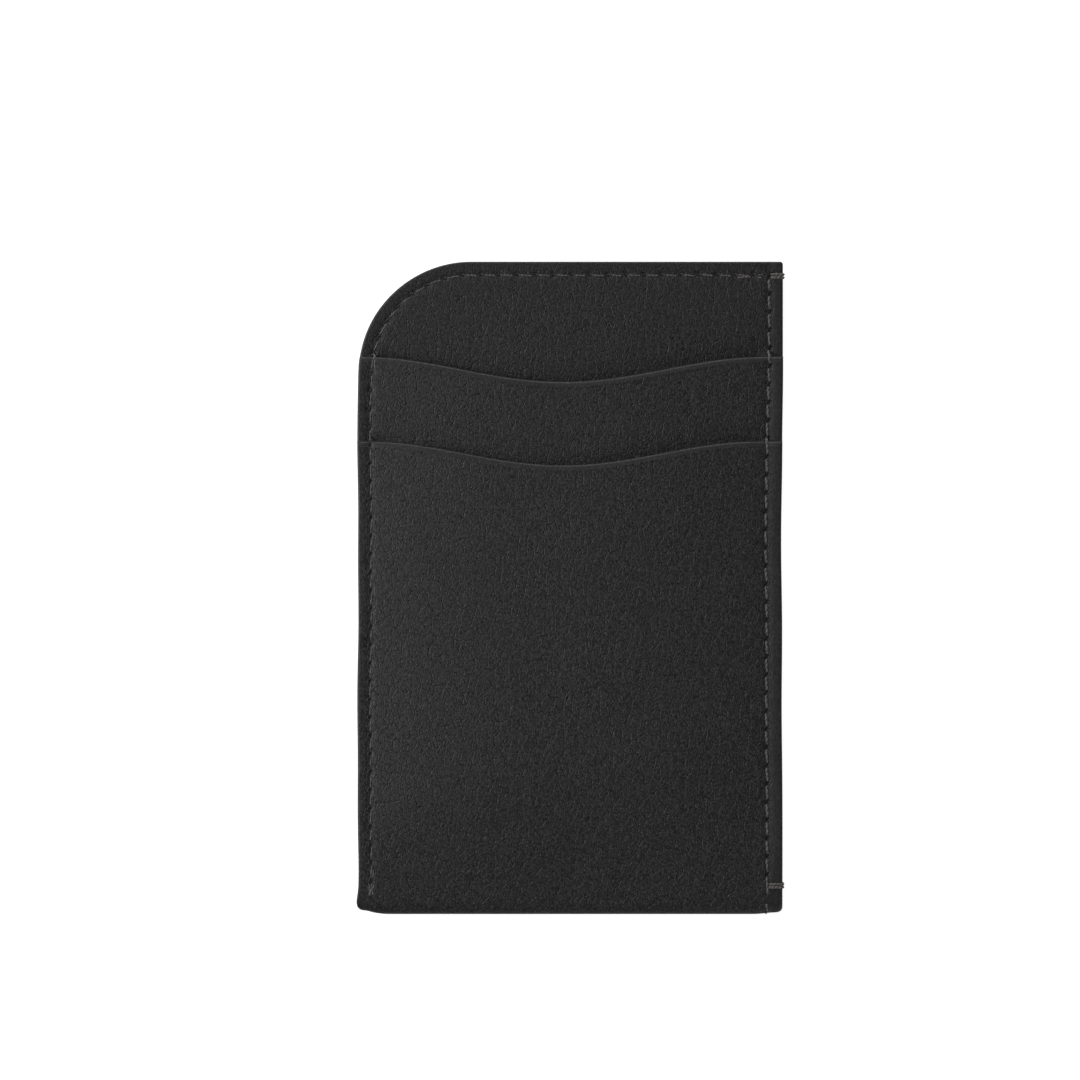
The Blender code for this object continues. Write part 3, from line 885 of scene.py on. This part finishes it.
def leatherMaterial(name, baseColour):
    nodes = Nodes(name)
    place = nodes.position()
    stretched = nodes.position(grain["tall"])
    warp = nodes.noise(place, 1.5, 2.0, 0.6)
    warpCentre = nodes.add("ShaderNodeVectorMath", operation="SUBTRACT")
    nodes.link(warp.outputs["Color"], warpCentre.inputs[0])
    warpCentre.inputs[1].default_value = (0.5, 0.5, 0.5)
    warpSize = nodes.add("ShaderNodeVectorMath", operation="SCALE")
    nodes.link(warpCentre.outputs[0], warpSize.inputs[0])
    warpSize.inputs["Scale"].default_value = grain["warp"] * 2
    warped = nodes.add("ShaderNodeVectorMath", operation="ADD")
    nodes.link(stretched, warped.inputs[0])
    nodes.link(warpSize.outputs[0], warped.inputs[1])
    grainPlace = warped.outputs[0]

    valleys = nodes.valleys(grainPlace, 1.0 / grain["cell"])
    creased = nodes.ramp(valleys, 0.0, grain["creaseWidth"], 1.0, 0.0)
    fineValleys = nodes.valleys(grainPlace, grain["fineScale"] / grain["cell"])
    broken = nodes.ramp(nodes.noise(place, 0.9, 1.0).outputs["Fac"], 0.42, 0.62)
    fineCreased = nodes.math("MULTIPLY", nodes.ramp(fineValleys, 0.0, grain["fineWidth"], 1.0, 0.0), broken)
    depth = nodes.ramp(nodes.noise(place, 0.22, 2.0).outputs["Fac"], 0.35, 0.65, 0.88, 1.1)
    beads = nodes.ramp(nodes.noise(place, 2.2, 0.0).outputs["Fac"], 0.3, 0.7, 0.60, 1.35)
    depth = nodes.math("MULTIPLY", depth, beads)
    pores = nodes.noise(stretched, 3.9, 1.0, 0.4).outputs["Fac"]
    specks = nodes.noise(stretched, 5.6, 0.0, 0.5).outputs["Fac"]

    creaseDepth = nodes.math("MULTIPLY", nodes.math("MULTIPLY", creased, depth), grain["pebble"])
    fineDepth = nodes.math("MULTIPLY", fineCreased, grain["fine"])
    height = nodes.math("MULTIPLY", nodes.math("ADD", creaseDepth, fineDepth), -1.0)
    height = nodes.math("ADD", height, nodes.math("MULTIPLY", pores, grain["pore"] * 2))

    edge = nodes.attribute("edge")
    wavyEdge = nodes.math("ADD", edge, nodes.math("MULTIPLY", nodes.math("SUBTRACT", pores, 0.5), 0.012))
    isFace = nodes.ramp(wavyEdge, 0.07, 0.22)
    fromEdge = nodes.ramp(edge, 0.1, 1.6, 0.25, 1.0)
    calm = nodes.attribute("calm")
    stretchedFlat = nodes.math("SUBTRACT", 1.0, nodes.math("MULTIPLY", calm, 0.6))
    height = nodes.math("MULTIPLY", height, nodes.math("MULTIPLY", fromEdge, stretchedFlat))

    along = nodes.attribute("stitch")
    across = nodes.attribute("across")
    openness = nodes.attribute("holes")
    fromRound = nodes.math("SUBTRACT", along, nodes.math("ROUND", along))
    fromHole = nodes.math("MULTIPLY", fromRound, seams["pitch"] / mm)
    main, minor = grain["lean"]
    lengthwise = nodes.weighted("ADD", fromHole, main, across, minor)
    widthwise = nodes.weighted("SUBTRACT", across, main, fromHole, minor)
    ring = nodes.ellipse(lengthwise, widthwise, 0.0, 0.0, *grain["holeSize"])
    hole = nodes.ramp(nodes.math("DIVIDE", ring, openness), 1.4, 0.5)
    hole = nodes.math("MULTIPLY", hole, 1.0, clamp=True)
    ear = nodes.ramp(nodes.ellipse(lengthwise, widthwise, *grain["earPlace"], *grain["earSize"]), 1.4, 0.0)
    height = nodes.math("SUBTRACT", height, nodes.math("MULTIPLY", hole, grain["hole"]))
    height = nodes.math("ADD", height, nodes.math("MULTIPLY", ear, grain["ear"]))

    patches = nodes.ramp(nodes.noise(place, 0.07, 2.0).outputs["Fac"], 0.3, 0.7, 0.98, 1.02)
    # the grain's creases are darkened in the colour: painted shade in the valleys
    valleyPaintedShade = nodes.ramp(valleys, 0.0, 0.08, 0.36, 1.0)
    # lighter and darker flecks: partly the leather's own mottle, partly painted glints and shade of the
    # grain's facets
    speckle = nodes.ramp(pores, 0.34, 0.66, 0.76, 1.24)
    speckle = nodes.math("MULTIPLY", speckle, nodes.ramp(specks, 0.3, 0.7, 0.40, 1.60))
    # shade holds the random tone, the painted shade in the creases and the partly painted flecks
    shade = nodes.math("MULTIPLY", nodes.math("MULTIPLY", patches, valleyPaintedShade), speckle)
    shadeLoss = nodes.math("MULTIPLY", nodes.math("SUBTRACT", shade, 1.0), stretchedFlat)
    shade = nodes.math("ADD", shadeLoss, 1.0)
    tint = nodes.add("ShaderNodeVectorMath", operation="SCALE")
    tint.inputs[0].default_value = baseColour
    nodes.link(shade, tint.inputs["Scale"])
    # the cut edges take the edge paint colour, which carries a painted rim highlight
    faceColour = nodes.mix(isFace, leather["paint"], tint.outputs[0])
    # the stitch holes are painted near black: painted shade in the hollows
    colour = nodes.mix(hole, faceColour, leather["hole"])
    nodes.link(colour, nodes.shader.inputs["Base Color"])
    polish = nodes.ramp(pores, 0.3, 0.7, leather["roughness"] - 0.05, leather["roughness"] + 0.07)
    rough = nodes.math("ADD", polish, nodes.math("MULTIPLY", hole, 0.4))
    nodes.link(rough, nodes.shader.inputs["Roughness"])
    nodes.shader.inputs["Specular IOR Level"].default_value = leather["specular"]
    nodes.link(nodes.bumpFrom(height), nodes.shader.inputs["Normal"])
    return nodes.material


cloth = {
    # dark goes where the weave lies low, light on its raised yarns: painted shade in the hollows
    "dark": (0.006, 0.0055, 0.006),
    "light": (0.02, 0.019, 0.02),
    "scale": 1.1,
    "distortion": 0.4,
    "depth": 0.03,
    "roughness": 0.9,
    "sheen": 0.15,
}


def liningMaterial(name):
    nodes = Nodes(name)
    place = nodes.position()
    weave = []
    for direction in ("X", "Y"):
        weave.append(nodes.wave(place, direction, cloth["scale"], cloth["distortion"]))
    height = nodes.math("MULTIPLY", nodes.math("MAXIMUM", weave[0], weave[1]), cloth["depth"])
    # darker where the weave lies low: painted shade in its hollows
    shade = nodes.ramp(height, 0.0, cloth["depth"])
    nodes.link(nodes.mix(shade, cloth["dark"], cloth["light"]), nodes.shader.inputs["Base Color"])
    nodes.shader.inputs["Roughness"].default_value = cloth["roughness"]
    nodes.shader.inputs["Sheen Weight"].default_value = cloth["sheen"]
    nodes.link(nodes.bumpFrom(height), nodes.shader.inputs["Normal"])
    return nodes.material


yarn = {
    "dark": (0.035, 0.030, 0.031),
    # light: far lighter than the dark thread, a painted highlight along the strands' crests
    "light": (0.13, 0.11, 0.11),
    "turn": (0.4, 0.3, math.radians(38)),   # lean of the strands
    "scale": 0.75,
    "distortion": 0.6,
    "fuzzScale": 9.0,
    "strandDepth": 0.05,
    "fuzzDepth": 0.02,
    "roughness": 0.5,
    "sheen": 0.3,
}


def threadMaterial(name):
    nodes = Nodes(name)
    place = nodes.position()
    turned = nodes.add("ShaderNodeMapping")
    turned.inputs["Rotation"].default_value = yarn["turn"]
    nodes.link(place, turned.inputs["Vector"])
    strands = nodes.wave(turned.outputs[0], "X", yarn["scale"], yarn["distortion"])
    fuzz = nodes.noise(place, yarn["fuzzScale"], 2.0).outputs["Fac"]
    strandHeight = nodes.math("MULTIPLY", strands, yarn["strandDepth"])
    height = nodes.math("ADD", strandHeight, nodes.math("MULTIPLY", fuzz, yarn["fuzzDepth"]))
    # the strand crests take the light colour: painted highlight on a dark thread
    nodes.link(nodes.mix(strands, yarn["dark"], yarn["light"]), nodes.shader.inputs["Base Color"])
    nodes.shader.inputs["Roughness"].default_value = yarn["roughness"]
    nodes.shader.inputs["Sheen Weight"].default_value = yarn["sheen"]
    nodes.link(nodes.bumpFrom(height), nodes.shader.inputs["Normal"])
    return nodes.material


def dress(piece, material):
    piece.data.materials.clear()
    piece.data.materials.append(material)


studio = {
    # the floor glows white to the camera, and is a plain grey to the light
    "floorSize": 3.0, "floorGlow": 0.90, "floorColour": 0.5, "floorBounce": 0.75,
    "keyPower": 5.0, "keySize": 0.45, "keyPlace": (-0.57, 0.12, 0.59),
    "fillPower": 2.4, "fillSize": 0.6, "fillPlace": (0.50, -0.58, 0.19),
    "stripPower": 2.5, "stripSize": 0.3, "stripPlace": (0.0, 0.73, 0.34),
    "horizon": 0.5, "zenith": 0.25, "backdrop": 1.0,
}
view = {
    "width": 165.6 * mm,    # width of the picture at the holder
    "middle": (-4.63 * mm, 7.33 * mm),
    "away": 1.2,
    "sensor": 36,
}


def makeStage():
    deselectAll()
    bpy.ops.mesh.primitive_plane_add(size=studio["floorSize"])
    floor = bpy.context.object
    floor.name = "floor"
    nodes = Nodes("floorWhite")
    white = studio["floorColour"]
    nodes.shader.inputs["Base Color"].default_value = (white, white, white, 1)
    nodes.shader.inputs["Roughness"].default_value = 0.9
    nodes.shader.inputs["Emission Color"].default_value = (1, 1, 1, 1)
    nodes.shader.inputs["Emission Strength"].default_value = studio["floorGlow"]
    grey = nodes.add("ShaderNodeBsdfDiffuse")
    bounce = studio["floorBounce"]
    grey.inputs["Color"].default_value = (bounce, bounce, bounce, 1)
    seen = nodes.add("ShaderNodeLightPath").outputs["Is Camera Ray"]
    either = nodes.add("ShaderNodeMixShader")
    nodes.link(seen, either.inputs[0])
    nodes.link(grey.outputs[0], either.inputs[1])
    nodes.link(nodes.shader.outputs[0], either.inputs[2])
    nodes.link(either.outputs[0], nodes.tree.nodes["Material Output"].inputs["Surface"])
    floor.data.materials.append(nodes.material)


def addLight(name, place, power, size):
    light = bpy.data.lights.new(name, "AREA")
    light.energy = power
    light.size = size
    lamp = bpy.data.objects.new(name, light)
    bpy.context.scene.collection.objects.link(lamp)
    lamp.location = place
    lamp.rotation_euler = (-Vector(place)).to_track_quat("-Z", "Y").to_euler()


def makeWorld():
    # an even pale backdrop to the camera; as light, brighter low down than overhead
    world = bpy.data.worlds.new("studio")
    bpy.context.scene.world = world
    world.use_nodes = True
    tree = world.node_tree
    light = tree.nodes["Background"]
    coordinates = tree.nodes.new("ShaderNodeTexCoord")
    split = tree.nodes.new("ShaderNodeSeparateXYZ")
    ramp = tree.nodes.new("ShaderNodeMapRange")
    ramp.interpolation_type = "SMOOTHSTEP"
    ramp.inputs["From Min"].default_value = 0.10
    ramp.inputs["From Max"].default_value = 0.55
    ramp.inputs["To Min"].default_value = studio["horizon"]
    ramp.inputs["To Max"].default_value = studio["zenith"]
    tree.links.new(coordinates.outputs["Generated"], split.inputs[0])
    tree.links.new(split.outputs["Z"], ramp.inputs["Value"])
    tree.links.new(ramp.outputs[0], light.inputs["Strength"])
    backdrop = tree.nodes.new("ShaderNodeBackground")
    backdrop.inputs["Color"].default_value = (1, 1, 1, 1)
    backdrop.inputs["Strength"].default_value = studio["backdrop"]
    either = tree.nodes.new("ShaderNodeMixShader")
    tree.links.new(tree.nodes.new("ShaderNodeLightPath").outputs["Is Camera Ray"], either.inputs[0])
    tree.links.new(light.outputs[0], either.inputs[1])
    tree.links.new(backdrop.outputs[0], either.inputs[2])
    tree.links.new(either.outputs[0], tree.nodes["World Output"].inputs["Surface"])


def makeCamera():
    # straight above; the holder sits right of and below the middle of the picture
    data = bpy.data.cameras.new("camera")
    camera = bpy.data.objects.new("camera", data)
    bpy.context.scene.collection.objects.link(camera)
    data.sensor_width = view["sensor"]
    data.lens = view["sensor"] * view["away"] / view["width"]
    camera.location = (*view["middle"], view["away"] + stackTop / 2)
    camera.rotation_euler = (0, 0, 0)
    data.clip_start, data.clip_end = 0.05, 20
    bpy.context.scene.camera = camera


makeCamera()
makeStage()
addLight("keyLeft", studio["keyPlace"], studio["keyPower"], studio["keySize"])
addLight("fillRight", studio["fillPlace"], studio["fillPower"], studio["fillSize"])
addLight("stripTop", studio["stripPlace"], studio["stripPower"], studio["stripSize"])
makeWorld()
bpy.context.scene.view_settings.view_transform = "Standard"
print("stage ready")

leatherPieces = makePlies()
print("leather plies ready")
liningPieces = makeLinings()
print("linings ready")
threadPieces = makeThreads()
print("threads ready")

shellLeather = leatherMaterial("shellLeather", leather["shell"])
panelLeather = leatherMaterial("panelLeather", leather["panel"])
# the tall panel gets a darker copy of the panel leather: painted shade for its flatter face
panelLeatherPaintedShade = leatherMaterial("panelLeatherPaintedShade", leather["top"])
liningCloth = liningMaterial("liningCloth")
blackThread = threadMaterial("blackThread")
dress(leatherPieces["outerWrap"], shellLeather)
dress(leatherPieces["tallPanel"], panelLeatherPaintedShade)
dress(leatherPieces["upperPocketPanel"], panelLeather)
for piece in liningPieces:
    dress(piece, liningCloth)
for piece in threadPieces:
    dress(piece, blackThread)
for piece in list(leatherPieces.values()) + liningPieces + threadPieces:
    print(piece.name, sum(len(face.vertices) - 2 for face in piece.data.polygons), "triangles")
